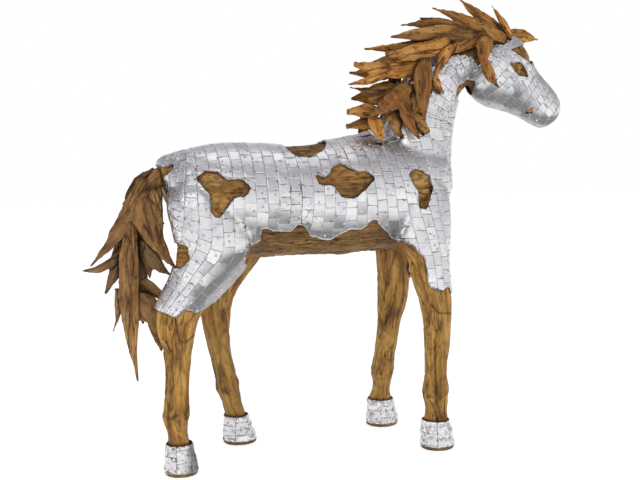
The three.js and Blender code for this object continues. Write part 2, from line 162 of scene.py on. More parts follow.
def newGroup(name, inputs, outputs):
    group = bpy.data.node_groups.new(name, "ShaderNodeTree")
    for label, kind in inputs:
        group.interface.new_socket(label, in_out="INPUT", socket_type=kind)
    for label, kind in outputs:
        group.interface.new_socket(label, in_out="OUTPUT", socket_type=kind)
    return group, group.nodes.new("NodeGroupInput"), group.nodes.new("NodeGroupOutput")


def node(tree, kind, links=None, **values):
    made = tree.nodes.new(kind)
    for key, value in values.items():
        if key in made.inputs:
            made.inputs[key].default_value = value
        else:
            setattr(made, key, value)
    for key, source in (links or {}).items():
        tree.links.new(source, made.inputs[key])
    return made


def maths(tree, operation, first, second=None):
    made = tree.nodes.new("ShaderNodeMath")
    made.operation = operation
    for i, value in enumerate((first, second)):
        if value is None:
            continue
        if isinstance(value, (int, float)):
            made.inputs[i].default_value = value
        else:
            tree.links.new(value, made.inputs[i])
    return made.outputs[0]


def times(tree, first, second):
    return maths(tree, "MULTIPLY", first, second)


def attribute(tree, name):
    return node(tree, "ShaderNodeAttribute", attribute_name=name).outputs["Fac"]


def spread(tree, value, low, high, toLow=0.0, toHigh=1.0):
    made = tree.nodes.new("ShaderNodeMapRange")
    made.inputs["From Min"].default_value = low
    made.inputs["From Max"].default_value = high
    made.inputs["To Min"].default_value = toLow
    made.inputs["To Max"].default_value = toHigh
    tree.links.new(value, made.inputs["Value"])
    return made.outputs["Result"]


def noiseOf(tree, vector, scale, detail=3.0, roughness=0.55, distortion=0.0):
    made = tree.nodes.new("ShaderNodeTexNoise")
    made.inputs["Scale"].default_value = scale
    made.inputs["Detail"].default_value = detail
    made.inputs["Roughness"].default_value = roughness
    made.inputs["Distortion"].default_value = distortion
    tree.links.new(vector, made.inputs["Vector"])
    return made.outputs["Fac"]


def bumped(tree, shader, height, strength, distance):
    bump = tree.nodes.new("ShaderNodeBump")
    bump.inputs["Strength"].default_value = strength
    bump.inputs["Distance"].default_value = distance
    tree.links.new(height, bump.inputs["Height"])
    tree.links.new(bump.outputs["Normal"], shader.inputs["Normal"])


def stretched(tree, vector, scale):
    made = tree.nodes.new("ShaderNodeMapping")
    made.inputs["Scale"].default_value = scale
    tree.links.new(vector, made.inputs["Vector"])
    return made.outputs["Vector"]


def makeGrain():
    inputs = [("Vector", "NodeSocketVector")]
    outputs = [(label, "NodeSocketFloat") for label in ("Streaks", "Blotches", "Cracks", "Knots", "Height")]
    group, given, result = newGroup("driftGrain", inputs, outputs)
    place = given.outputs["Vector"]
    # The X of the vector runs along the grain.
    streaks = noiseOf(group, stretched(group, place, (5, 60, 60)), 1.0, 5, 0.62, 0.6)
    fine = noiseOf(group, stretched(group, place, (14, 260, 260)), 1.0, 3, 0.6, 0.3)
    blotches = noiseOf(group, stretched(group, place, (6, 14, 14)), 1.0, 3, 0.55, 0.4)
    lines = noiseOf(group, stretched(group, place, (3.2, 34, 34)), 1.0, 2, 0.5, 0.9)
    ridge = maths(group, "ABSOLUTE", maths(group, "SUBTRACT", lines, 0.5))
    cracks = spread(group, ridge, 0.0, 0.022, 1.0, 0.0)
    gate = spread(group, noiseOf(group, stretched(group, place, (4, 9, 9)), 1.0, 1), 0.48, 0.60)
    cracks = times(group, cracks, gate)
    cells = group.nodes.new("ShaderNodeTexVoronoi")
    cells.inputs["Scale"].default_value = 1.0
    group.links.new(stretched(group, place, (6.0, 13, 13)), cells.inputs["Vector"])
    knots = spread(group, cells.outputs["Distance"], 0.10, 0.24, 1.0, 0.0)
    knots = times(group, knots, spread(group, blotches, 0.45, 0.6))
    height = maths(group, "ADD", times(group, streaks, 0.5), times(group, fine, 0.28))
    height = maths(group, "SUBTRACT", height, times(group, cracks, 0.6))
    height = maths(group, "SUBTRACT", height, times(group, knots, 0.25))
    mixed = maths(group, "ADD", times(group, streaks, 0.65), times(group, fine, 0.35))
    found = {"Streaks": mixed, "Blotches": blotches, "Cracks": cracks, "Knots": knots, "Height": height}
    for label, value in found.items():
        group.links.new(value, result.inputs[label])
    return group


def mixColour(tree, factor, first, second, blend="MIX"):
    made = tree.nodes.new("ShaderNodeMix")
    made.data_type = "RGBA"
    made.blend_type = blend
    for socket, value in ((made.inputs[0], factor), (made.inputs[6], first), (made.inputs[7], second)):
        if isinstance(value, (int, float)):
            socket.default_value = value
        elif isinstance(value, tuple):
            socket.default_value = (*value, 1)
        else:
            tree.links.new(value, socket)
    return made.outputs[2]


makeCamera()
makeStudio()
print("studio made")
grainGroup = makeGrain()


woodLook = {
    "paleTint": (1.28, 1.20, 0.98),
    "dullAndShadedTint": (0.60, 0.62, 0.60),
    "redStretch": (5, 11, 11),
    "speckStretch": (42, 75, 75),
    "roughness": 0.5,
    "bumpStrength": 0.85,
    "bumpDistance": 0.006,
}


def woodMaterial(name, dark, mid, light, red, speckled):
    material, tree, shader = newMaterial(name)
    grainAt = node(tree, "ShaderNodeAttribute", attribute_name="grainAt").outputs["Vector"]
    grain = node(tree, "ShaderNodeGroup", node_tree=grainGroup)
    tree.links.new(grainAt, grain.inputs["Vector"])
    ramp = tree.nodes.new("ShaderNodeValToRGB")
    ramp.color_ramp.elements[0].position = 0.39
    ramp.color_ramp.elements[0].color = (*dark, 1)
    ramp.color_ramp.elements[1].position = 0.62
    ramp.color_ramp.elements[1].color = (*light, 1)
    middle = ramp.color_ramp.elements.new(0.5)
    middle.color = (*mid, 1)
    tone = maths(tree, "ADD", times(tree, grain.outputs["Streaks"], 0.6),
                 times(tree, grain.outputs["Blotches"], 0.4))
    tree.links.new(tone, ramp.inputs["Fac"])
    pale = mixColour(tree, 1.0, ramp.outputs["Color"], woodLook["paleTint"], "MULTIPLY")
    dull = mixColour(tree, 1.0, ramp.outputs["Color"], woodLook["dullAndShadedTint"], "MULTIPLY")
    # Per-piece tone between a pale and a dull copy: random among the sticks; on the far legs the dull copy is
    # painted shade.
    body = mixColour(tree, attribute(tree, "pieceToneAndShade"), dull, pale)
    redAt = stretched(tree, grainAt, woodLook["redStretch"])
    redder = spread(tree, noiseOf(tree, redAt, 1.0, 3, 0.6, 0.5), 0.50, 0.66)
    body = mixColour(tree, times(tree, redder, 0.55), body, red)
    # Lighter on the ridge crests: partly wear on the high spots, partly painted highlight.
    body = mixColour(tree, times(tree, attribute(tree, "crest"), 0.55), body, light)
    deep = tuple(0.22 * c for c in dark)
    speckAt = stretched(tree, grainAt, woodLook["speckStretch"])
    specks = spread(tree, noiseOf(tree, speckAt, 1.0, 2, 0.55, 0.6), 0.57, 0.66)
    body = mixColour(tree, times(tree, specks, speckled), body, dark)
    colour = mixColour(tree, times(tree, grain.outputs["Knots"], 0.75), body, dark)
    colour = mixColour(tree, times(tree, grain.outputs["Cracks"], 0.85), colour, deep)
    # Darker in cracks, knots and burnt tips, and painted shade in recesses, under the belly and beside the
    # metal.
    colour = mixColour(tree, times(tree, attribute(tree, "darkWoodAndShade"), 0.8), colour, deep)
    tree.links.new(colour, shader.inputs["Base Color"])
    dull, glossy = woodLook["roughness"] + 0.15, woodLook["roughness"] - 0.1
    tree.links.new(spread(tree, grain.outputs["Streaks"], 0.3, 0.7, dull, glossy), shader.inputs["Roughness"])
    shader.inputs["Specular IOR Level"].default_value = 0.22
    bumped(tree, shader, grain.outputs["Height"], woodLook["bumpStrength"], woodLook["bumpDistance"])
    return material


metalLook = {
    "darkTile": (0.67, 0.67, 0.68),
    "lightTile": (0.86, 0.86, 0.86),
    "violetTile": (0.64, 0.61, 0.68),
    "smudge": (0.5, 0.5, 0.52),
    # Painted shade: the colour of the tiles that face down and of the lower thigh.
    "underShade": (0.13, 0.13, 0.135),
    "seam": (0.11, 0.105, 0.11),
    # Seams inside the painted shade take a lighter grey, so they don't stand out there.
    "underShadeSeam": (0.66, 0.66, 0.66),
    "pit": (0.25, 0.245, 0.25),
    "ring": (0.16, 0.155, 0.16),
    "dot": (0.95, 0.95, 0.95),
    "dotScale": 34,
    "bumpStrength": 0.5,
    "bumpDistance": 0.003,
}


def metalMaterial(name):
    material, tree, shader = newMaterial(name)
    tint = node(tree, "ShaderNodeAttribute", attribute_name="tint")
    place = node(tree, "ShaderNodeTexCoord").outputs["Object"]
    split = node(tree, "ShaderNodeSeparateXYZ", {0: tint.outputs["Vector"]})
    base = mixColour(tree, split.outputs["X"], metalLook["darkTile"], metalLook["lightTile"])
    base = mixColour(tree, times(tree, split.outputs["Y"], 0.35), base, metalLook["violetTile"])
    smudge = spread(tree, noiseOf(tree, place, 26, 4, 0.6), 0.52, 0.72)
    base = mixColour(tree, times(tree, smudge, 0.35), base, metalLook["smudge"])
    # Painted shade on the downward-facing tiles; the seams there take a lighter grey.
    underShade = attribute(tree, "under")
    base = mixColour(tree, times(tree, underShade, 0.9), base, metalLook["underShade"])
    groove = mixColour(tree, spread(tree, underShade, 0.35, 0.7), metalLook["seam"], metalLook["underShadeSeam"])
    dirt = spread(tree, noiseOf(tree, place, 18, 2), 0.35, 0.6, 0.35, 1.0)
    grime = times(tree, attribute(tree, "seam"), dirt)
    base = mixColour(tree, times(tree, grime, 0.9), base, groove)
    pits = spread(tree, noiseOf(tree, place, 105, 3, 0.6, 0.8), 0.56, 0.66)
    pits = times(tree, pits, spread(tree, attribute(tree, "crushed"), 0.0, 0.6, 0.22, 0.9))
    base = mixColour(tree, pits, base, metalLook["pit"])
    cells = tree.nodes.new("ShaderNodeTexVoronoi")
    cells.inputs["Scale"].default_value = metalLook["dotScale"]
    tree.links.new(place, cells.inputs["Vector"])
    dot = spread(tree, cells.outputs["Distance"], 0.06, 0.12, 1.0, 0.0)
    ring = times(tree, spread(tree, cells.outputs["Distance"], 0.08, 0.13),
                 spread(tree, cells.outputs["Distance"], 0.14, 0.20, 1.0, 0.0))
    base = mixColour(tree, times(tree, ring, 0.8), base, metalLook["ring"])
    # The bright dots fade where the painted shade lies.
    dotOutsideUnderShade = spread(tree, underShade, 0.0, 0.6, 0.6, 0.1)
    base = mixColour(tree, times(tree, dot, dotOutsideUnderShade), base, metalLook["dot"])
    tree.links.new(base, shader.inputs["Base Color"])
    shader.inputs["Metallic"].default_value = 1.0
    rough = maths(tree, "ADD", times(tree, split.outputs["Z"], 0.10), 0.30)
    rough = maths(tree, "ADD", rough, times(tree, smudge, 0.12))
    rough = maths(tree, "ADD", rough, times(tree, grime, 0.25))
    tree.links.new(rough, shader.inputs["Roughness"])
    dents = noiseOf(tree, place, 38, 2, 0.5, 0.2)
    scratches = noiseOf(tree, place, 160, 2, 0.6)
    height = maths(tree, "ADD", dents, times(tree, scratches, 0.12))
    height = maths(tree, "ADD", height, times(tree, maths(tree, "SUBTRACT", dot, ring), 0.5))
    height = maths(tree, "SUBTRACT", height, times(tree, pits, 0.6))
    bumped(tree, shader, height, metalLook["bumpStrength"], metalLook["bumpDistance"])
    return material


materials = {
    "trunk_wood": woodMaterial("bodyWood", dark=(0.085, 0.036, 0.010), mid=(0.38, 0.205, 0.062),
                               light=(0.60, 0.385, 0.150), red=(0.28, 0.105, 0.034), speckled=0.8),
    "leg_wood": woodMaterial("legWood", dark=(0.10, 0.042, 0.011), mid=(0.43, 0.232, 0.056),
                             light=(0.62, 0.39, 0.120), red=(0.33, 0.125, 0.034), speckled=0.5),
    "mane_driftwood": woodMaterial("maneWood", dark=(0.085, 0.028, 0.006), mid=(0.37, 0.165, 0.035),
                                   light=(0.60, 0.33, 0.10), red=(0.36, 0.11, 0.018), speckled=0.8),
    "tail_driftwood": woodMaterial("tailWood", dark=(0.07, 0.032, 0.013), mid=(0.25, 0.135, 0.052),
                                   light=(0.42, 0.26, 0.115), red=(0.24, 0.10, 0.04), speckled=0.6),
    "metal_tiles": metalMaterial("tileMetal"),
}
print("materials made")


def cleanCopy(names):
    bm = bmesh.new()
    for name in names:
        bm.from_mesh(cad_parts[name].data)
    bmesh.ops.remove_doubles(bm, verts=bm.verts, dist=0.00002)
    return bm


def largestLump(bm):
    left = set(bm.verts)
    best = []
    while left:
        front = [left.pop()]
        lump = list(front)
        while front:
            for edge in front.pop().link_edges:
                for vert in edge.verts:
                    if vert in left:
                        left.discard(vert)
                        front.append(vert)
                        lump.append(vert)
        if len(lump) > len(best):
            best = lump
    keep = set(best)
    bmesh.ops.delete(bm, geom=[vert for vert in bm.verts if vert not in keep], context="VERTS")


def addEvaluated(bm, piece):
    evaluated = piece.evaluated_get(bpy.context.evaluated_depsgraph_get())
    bm.from_mesh(evaluated.to_mesh())
    evaluated.to_mesh_clear()
    bpy.data.objects.remove(piece)


def roundedOff(piece, levels, swell, voxel, rounds):
    if levels:
        smoother = piece.modifiers.new("round", "SUBSURF")
        smoother.levels = smoother.render_levels = levels
    if swell:
        proud = piece.modifiers.new("swell", "DISPLACE")
        proud.strength = swell
        proud.mid_level = 0
    remesh = piece.modifiers.new("even", "REMESH")
    remesh.mode = "VOXEL"
    remesh.voxel_size = voxel
    settle = piece.modifiers.new("settle", "SMOOTH")
    settle.factor = 0.5
    settle.iterations = rounds
    bm = bmesh.new()
    addEvaluated(bm, piece)
    largestLump(bm)
    return bm


def softened(names, label, levels, voxel, rounds, swell=0.0):
    return roundedOff(objectFrom(cleanCopy(names), label), levels, swell, voxel, rounds)


def treeOf(names):
    bm = bmesh.new()
    for name in names:
        bm.from_mesh(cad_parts[name].data)
    tree = BVHTree.FromBMesh(bm)
    bm.free()
    return tree


def ramped(value, low, high):
    t = min(1.0, max(0.0, (value - low) / (high - low)))
    return t * t * (3 - 2 * t)


def nearest(spot, first, second):
    first, second = Vector(first), Vector(second)
    step = second - first
    t = min(1.0, max(0.0, (spot - first).dot(step) / step.length_squared))
    return (spot - first - step * t).length, t


def nearestOf(spot, lines):
    return min([1.0] + [nearest(spot, first, second)[0] for first, second in lines])


coat = {
    "voxel": 0.0066,
    "levels": 2,
    "rounds": 12,
    "proud": 0.0065,
    "columnWidth": 0.041,
    "tileHeight": 0.047,
    "lip": 0.0017,
    "groove": 0.0009,
    "rounding": 0.011,
    "skirt": 0.005,
    "headColumnWidth": 0.033,
    "headTileHeight": 0.036,
    "innerRadius": 0.072,
    "lockGap": 0.05,
    "lockReach": 0.03,
    "wallReach": 0.045,
    "probeHeight": 0.02,
    "probeDepth": 0.05,
}


def joinSoft():
    parts = bmesh.new()
    for name in ["trunk"] + ["leg_" + corner for corner in footCorners]:
        piece = objectFrom(cleanCopy([name]), "part")
        smoother = piece.modifiers.new("round", "SUBSURF")
        smoother.levels = coat["levels"]
        addEvaluated(parts, piece)
    bm = roundedOff(objectFrom(parts, "whole"), 0, coat["proud"], coat["voxel"], coat["rounds"])
    bmesh.ops.triangulate(bm, faces=bm.faces)
    bm.normal_update()
    print("coat base", len(bm.faces))
    return bm


def own(point):
    return Vector((point.x - centreX, point.y - centreY, point.z))


lockTree = treeOf([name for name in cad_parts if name.startswith(("mane_", "ear_"))])
hemPoints = []  # where the coat of tiles ends, for the painted shadow line on the wood beside it
nailSpots = []  # the middle and the direction of each nail head


def wander(point, scale, size):
    return noise.noise_vector(point * scale) * size


# The bare root of the tail, as (x, z) points.
dock = {"from": (-0.650, 1.015), "to": (-0.568, 1.090), "wide": 0.030, "narrow": 0.007}


def nearDock(p):
    gap, t = nearest(Vector((p.x, p.z)), dock["from"], dock["to"])
    return gap < dock["wide"] * (1 - t) + dock["narrow"] * t


def among(point, normal, side, other):
    if lockTree.find_nearest(point, coat["lockGap"])[0] is None:
        return False
    if lockTree.ray_cast(point, normal, coat["lockReach"])[0] is not None:
        return True
    walls = 0
    for i in range(8):
        angle = i * math.tau / 8
        aim = side * math.cos(angle) + other * math.sin(angle) + normal * 0.3
        if lockTree.ray_cast(point + normal * 0.006, aim, coat["wallReach"])[0] is not None:
            walls += 1
    return walls > 3


def onHead(p):
    return p.z > 1.25 and p.x > 0.58


def covered(tree, point, normal, rough=1.0):
    if onHead(own(point)):
        rough *= 0.3
    strayed = (wander(point, 38, 0.0045) + wander(point, 110, 0.002)) * rough ** 0.5
    moved = point + strayed + normal * coat["probeHeight"]
    side = normal.orthogonal().normalized()
    other = normal.cross(side)
    found = 0
    for i in range(7):
        angle = i * math.tau / 6
        spot = moved
        if i < 6:
            spot = moved + (side * math.cos(angle) + other * math.sin(angle)) * coat["rounding"] * rough
        if tree.ray_cast(spot, -normal, coat["probeDepth"])[0] is not None:
            found += 1
    if found < (5 if onHead(own(point)) else 4):
        return False
    return not nearDock(own(moved)) and not among(point, normal, side, other)


def cutCoverage(bm, tree, rough=1.0):
    hem = bm.verts.layers.float.new("hem")
    inside = {}
    for vert in bm.verts:
        inside[vert] = covered(tree, vert.co, vert.normal, rough)
    crossing = [edge for edge in bm.edges if inside[edge.verts[0]] != inside[edge.verts[1]]]
    cuts = []
    for edge in crossing:
        first, second = edge.verts
        if not inside[first]:
            first, second = second, first
        low, high = 0.0, 1.0
        for _ in range(5):
            mid = (low + high) / 2
            point = first.co.lerp(second.co, mid)
            if covered(tree, point, first.normal.lerp(second.normal, mid), rough):
                low = mid
            else:
                high = mid
        fac = min(0.92, max(0.08, low))
        made = bmesh.utils.edge_split(edge, first, fac)[1]
        made[hem] = 1.0
        hemPoints.append(made.co.copy())
        inside[made] = True
        cuts.append(made)
    bmesh.ops.connect_verts(bm, verts=cuts)
    outside = [face for face in bm.faces if any(not inside[vert] for vert in face.verts)]
    bmesh.ops.delete(bm, geom=outside, context="FACES")


def cutLines(bm, layer):
    for vert in bm.verts:
        value = vert[layer]
        line = round(value)
        if value == line or not vert.link_edges:
            continue
        best, step = None, 0.0
        for edge in vert.link_edges:
            change = edge.other_vert(vert)[layer] - value
            if abs(change) > abs(step):
                best, step = edge, change
        if best is None:
            continue
        t = (line - value) / step
        if abs(t) < 0.22:
            vert.co = vert.co.lerp(best.other_vert(vert).co, t)
            vert[layer] = line
    for edge in list(bm.edges):
        first, second = edge.verts
        a, b = first[layer], second[layer]
        if a > b:
            first, second, a, b = second, first, b, a
        line = math.floor(a) + 1
        while line < b:
            fac = (line - a) / (b - a)
            edge, made = bmesh.utils.edge_split(edge, first, fac)
            made[layer] = line
            first, a = made, line
            line += 1
            edge = next((e for e in made.link_edges if e.other_vert(made) == second), None)
            if edge is None:
                break
    onLine = [vert for vert in bm.verts if vert[layer] == round(vert[layer])]
    bmesh.ops.connect_verts(bm, verts=onLine)
    borders = [edge for edge in bm.edges
               if edge.verts[0][layer] == edge.verts[1][layer] == round(edge.verts[0][layer])]
    bmesh.ops.split_edges(bm, edges=borders)


def cellOf(face, layer):
    return math.floor(sum(vert[layer] for vert in face.verts) / len(face.verts))


def markTiles(bm, fieldOf, columnWidth, tileHeight, seed):
    columns = bm.verts.layers.float.new("column")
    rows = bm.verts.layers.float.new("row")
    for vert in bm.verts:
        column, row = fieldOf(vert.co)
        bend = noise.noise_vector(vert.co * 7 + Vector((seed, 0, 0)))
        vert[columns] = (column + 0.007 * bend.x) / columnWidth
        vert[rows] = (row + 0.007 * bend.y) / tileHeight
    cutLines(bm, columns)
    done = set()
    for face in bm.faces:
        column = cellOf(face, columns)
        chance = random.Random(column * 31 + seed)
        offset = 0.5 * (column % 2) + chance.uniform(-0.14, 0.14)
        for vert in face.verts:
            if vert not in done:
                vert[rows] += offset
                done.add(vert)
    cutLines(bm, rows)
    bm.normal_update()
    tileOf = bm.faces.layers.int.new("tile")
    tiles = {}
    for face in bm.faces:
        tiles.setdefault((cellOf(face, columns), cellOf(face, rows)), []).append(face)
    for number, faces in enumerate(tiles.values()):
        for face in faces:
            face[tileOf] = number + 1
    return list(tiles.values()), tileOf


# Painted shade: tiles facing down, and those on the lower thigh, are darkened.
def underShadeAt(vert, chance):
    p = own(vert.co)
    thigh = ramped(-p.x, 0.22, 0.30) * ramped(-p.z, -0.84, -0.74)
    lowSide = -0.95 * vert.normal.z + thigh * (0.16 + 0.55 * vert.normal.x)
    lowSide += 0.10 * chance.uniform(-1, 1)
    return ramped(lowSide, 0.06, 0.40) * (1 - 0.4 * ramped(lowSide, 0.62, 0.80))


def shapeTiles(bm, tileOf, edgeVerts, seed, groove, crumple):
    seam = bm.verts.layers.float["seam"]
    under = bm.verts.layers.float["under"]
    crushed = bm.verts.layers.float["crushed"]
    tint = bm.verts.layers.float_vector["tint"]
    for vert in bm.verts:
        number = max(face[tileOf] for face in vert.link_faces) if vert.link_faces else 0
        chance = random.Random(number * 7 + seed)
        rise = chance.uniform(-0.0006, 0.0008)
        vert[tint] = (chance.random(), chance.random() ** 2, chance.random())
        vert[under] = underShadeAt(vert, chance)
        lump = noise.noise(vert.co * 26) * 0.0009 + noise.noise(vert.co * 60) * 0.0004
        if crumple:
            strength = crumple(vert.co)
            vert[crushed] = min(1.0, strength)
            lump += strength * (noise.noise(vert.co * 34 + Vector((9, 0, 0))) * 0.0045
                                + noise.noise(vert.co * 75) * 0.002)
        if vert in edgeVerts:
            vert[seam] = 1.0
            vert.co += vert.normal * (lump * 0.4 - groove)
        else:
            vert.co += vert.normal * (lump + rise)


def pickNails(tiles, edgeVerts, seed):
    for faces in tiles:
        chance = random.Random(len(faces) * 13 + seed)
        if len(faces) > 12 and chance.random() < 0.3:
            spot = chance.choice(faces)
            if spot.is_valid and not any(vert in edgeVerts for vert in spot.verts):
                nailSpots.append((spot.calc_center_median(), spot.normal.copy()))


def turnDown(bm, depth):
    hem = bm.verts.layers.float["hem"]
    rim = [edge for edge in bm.edges if edge.is_boundary and all(vert[hem] > 0.5 for vert in edge.verts)]
    for made in bmesh.ops.extrude_edge_only(bm, edges=rim)["geom"]:
        if isinstance(made, bmesh.types.BMVert):
            made.co -= made.normal * depth
    for face in bm.faces:
        face.smooth = True
    for edge in rim:
        if edge.is_valid:
            edge.smooth = False


def metalPiece(bm, name):
    piece = objectFrom(bm, name)
    piece.data.materials.append(materials["metal_tiles"])
    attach(piece, "root")
    return piece


def layTiles(bm, name, fieldOf, columnWidth, tileHeight, seed, settings=coat, crumple=None):
    tiles, tileOf = markTiles(bm, fieldOf, columnWidth, tileHeight, seed)
    bmesh.ops.inset_region(bm, faces=bm.faces, use_boundary=True, use_even_offset=False,
                           thickness=settings["lip"], depth=0)
    for label in ("seam", "under", "crushed"):
        bm.verts.layers.float.new(label)
    bm.verts.layers.float_vector.new("tint")
    bm.normal_update()
    edgeVerts = {vert for vert in bm.verts if vert.is_boundary}
    shapeTiles(bm, tileOf, edgeVerts, seed, settings["groove"], crumple)
    if settings is coat:
        pickNails(tiles, edgeVerts, seed)
    turnDown(bm, settings["skirt"])
    piece = metalPiece(bm, name)
    print(name, "tiles", len(tiles), "faces", len(piece.data.polygons))
    return piece


barrelLine = {
    "from": -0.50,
    "to": 0.42,
    "height": 0.945,
    "radius": 0.20,
    "rearRadius": 0.16,
    "frontRadius": 0.12,
}
neckPoints = ((0.385, 1.02), (0.39, 1.15), (0.413, 1.252), (0.451, 1.347),
              (0.51, 1.424), (0.59, 1.47), (0.68, 1.49), (0.80, 1.49))
neckLine = [Vector(p) for p in neckPoints]
headFrom = Vector((0.74, 1.49))
headPitch = math.radians(-39.6)
hindLeg = {
    "centre": (-0.50, -0.135, 0.68),
    "lean": (-0.64, -0.77),
    "radius": 0.095,
    "knee": (-0.43, 0.79),
    "sideAtKnee": 0.41,
    "downAtKnee": 0.2845,
}


def torsoField(point):
    p = own(point)
    lean = 0.22 * ramped(p.x, -0.05, 0.30) * (1 - ramped(p.x, 0.38, 0.52))
    lean -= 0.10 * (1 - ramped(p.x, -0.52, -0.30))
    column = p.x
    across = abs(p.y)
    low, high = barrelLine["from"], barrelLine["to"]
    rear = ramped(-p.x, -low - 0.04, -low + 0.12)
    front = ramped(p.x, high, high + 0.12)
    if p.x < low:
        column = low - barrelLine["rearRadius"] * math.atan2(low - p.x, across)
    if p.x > high:
        column = high + barrelLine["frontRadius"] * math.atan2(p.x - high, across)
    column += lean * (p.z - 0.95)
    girth = barrelLine["radius"] * (math.atan2(across, p.z - barrelLine["height"]) - math.pi / 2)
    upright = barrelLine["height"] - p.z
    withers = ramped(p.z, 1.06, 1.16) * ramped(p.x, 0.15, 0.30)
    weight = max(rear, front, withers, ramped(-p.z, -0.93, -0.85))
    row = girth * (1 - weight) + upright * weight
    if p.y < 0 and p.x < -0.2:
        # The columns bend with the right thigh and run down along it.
        beside, down = legField(hindLeg["centre"], hindLeg["lean"], hindLeg["radius"], -1)(point)
        past = (Vector((p.x, p.z)) - Vector(hindLeg["knee"])).dot(Vector(hindLeg["lean"]))
        weight = ramped(past, -0.10, 0.12)
        column += weight * (beside - hindLeg["sideAtKnee"] - column)
        row += weight * (hindLeg["downAtKnee"] - down - row)
    return column, row


def alongLine(line, p):
    spot = Vector((p.x, p.z))
    best = None
    run = 0.0
    for i in range(len(line) - 1):
        first, second = line[i], line[i + 1]
        step = second - first
        before = (second - line[max(0, i - 1)]).normalized()
        after = (line[min(len(line) - 1, i + 2)] - first).normalized()
        near, far = (spot - first).dot(before), (spot - second).dot(after)
        t = near / (near - far) if near - far > 0.001 else 0.5
        if i > 0:
            t = max(0.0, t)
        if i < len(line) - 2:
            t = min(1.0, t)
        foot = first.lerp(second, t)
        gap = (spot - foot).length
        if best is None or gap < best[0]:
            side = step.x * (p.z - foot.y) - step.y * (p.x - foot.x)
            best = (gap, run + t * step.length, side / step.length)
        run += step.length
    return best[1:]


def neckField(point):
    p = own(point)
    run, side = alongLine(neckLine, p)
    angle = math.atan2(p.y, -side)
    return run, angle * 0.105


def headField(point):
    p = own(point)
    across = Vector((p.x, p.z)) - headFrom
    along = across.x * math.cos(headPitch) + across.y * math.sin(headPitch)
    up = -across.x * math.sin(headPitch) + across.y * math.cos(headPitch)
    radius = 0.095 - 0.12 * max(0, along - 0.1)
    around = math.atan2(abs(p.y), up + 0.02) * radius
    return along, around


def legField(centre, lean, radius, outward):
    def field(point):
        p = own(point)
        offset = Vector((p.x - centre[0], p.z - centre[2]))
        run = -offset.dot(Vector((lean[0], lean[1])))
        side = offset.x * -lean[1] + offset.y * lean[0]
        angle = math.atan2(side, outward * (p.y - centre[1]))
        return angle * radius, run
    return field


def crumpling(point):
    p = own(point)
    fold = 1.6 * math.exp(-((p.x + 0.15) / 0.07) ** 2 - ((p.z - 0.88) / 0.07) ** 2)
    rump = 0.5 * (1 - ramped(p.x, -0.56, -0.44))
    chest = 0.45 * ramped(p.x, 0.40, 0.50) * ramped(p.z, 0.9, 1.0)
    return fold + rump + chest


def takeRegion(bm, keep):
    part = bm.copy()
    gone = [face for face in part.faces if not keep(own(face.calc_center_median()))]
    bmesh.ops.delete(part, geom=gone, context="FACES")
    rest = [face for face in bm.faces if keep(own(face.calc_center_median()))]
    bmesh.ops.delete(bm, geom=rest, context="FACES")
    return part


def sliceWhere(bm, near, at, normal):
    faces = [face for face in bm.faces if near(own(face.calc_center_median()))]
    edges = {edge for face in faces for edge in face.edges}
    verts = {vert for face in faces for vert in face.verts}
    bmesh.ops.bisect_plane(bm, geom=[*verts, *edges, *faces], dist=0.0004,
                           plane_co=Vector(at) + Vector((centreX, centreY, 0)), plane_no=normal)


def beyond(at, normal):
    return lambda p: (p - Vector(at)).dot(Vector(normal)) > 0


# Where the fields of tiles meet: a point and a normal of each plane between them.
headCut = ((0.705, 0, 1.519), (math.cos(headPitch), 0, math.sin(headPitch)))
neckCut = ((0.41, 0, 1.25), (0.224, 0, 0.974))
hindCut = ((-0.43, 0, 0.79), (-0.64, 0, -0.77))
insideLegs = {
    "gaskin_right": {"near": lambda p: p.x < -0.2 and p.y < 0 and beyond(*hindCut)(p),
                     "centre": hindLeg["centre"], "lean": hindLeg["lean"], "outward": 1},
    "gaskin_left": {"near": lambda p: p.x < 0 and p.y > 0 and p.z < 0.79,
                    "centre": (-0.34, 0.142, 0.70), "lean": (-0.15, -0.99), "outward": -1},
    "forearm_right": {"near": lambda p: p.x > 0.2 and p.y < 0 and p.z < 0.80,
                      "centre": (0.39, -0.150, 0.70), "lean": (0.0, -1.0), "outward": 1},
    "forearm_left": {"near": lambda p: p.x > 0.2 and p.y > 0 and p.z < 0.80,
                     "centre": (0.39, 0.155, 0.70), "lean": (0.0, -1.0), "outward": -1},
}


def takeInside(base, leg):
    split = leg["centre"][1]
    sliceWhere(base, leg["near"], (0, split, 0), (0, 1, 0))
    part = takeRegion(base, lambda p: leg["near"](p) and (p.y - split) * leg["outward"] > 0)
    return part, legField(leg["centre"], leg["lean"], coat["innerRadius"], leg["outward"])


def makeCoat():
    base = joinSoft()
    cutCoverage(base, treeOf(["tile_coat"]))
    print("covered", len(base.faces))
    sliceWhere(base, lambda p: p.z > 1.25 and p.x > 0.5, *headCut)
    sliceWhere(base, lambda p: p.z > 1.1 and p.x > 0.1, *neckCut)
    head = takeRegion(base, lambda p: p.z > 1.25 and p.x > 0.5 and beyond(*headCut)(p))
    neck = takeRegion(base, lambda p: p.z > 1.1 and p.x > 0.1 and beyond(*neckCut)(p))
    insides = {name: takeInside(base, leg) for name, leg in insideLegs.items()}
    wide, tall = coat["columnWidth"], coat["tileHeight"]
    pieces = [
        layTiles(base, "tiles_torso", torsoField, wide, tall, seed=11, crumple=crumpling),
        layTiles(neck, "tiles_neck", neckField, wide, tall, seed=23, crumple=crumpling),
        layTiles(head, "tiles_head", headField, coat["headColumnWidth"], coat["headTileHeight"], seed=37),
    ]
    for i, (name, (part, field)) in enumerate(insides.items()):
        pieces.append(layTiles(part, "tiles_inner_" + name, field, wide, tall, seed=41 + 2 * i))
    for piece in pieces:
        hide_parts("tile_coat")


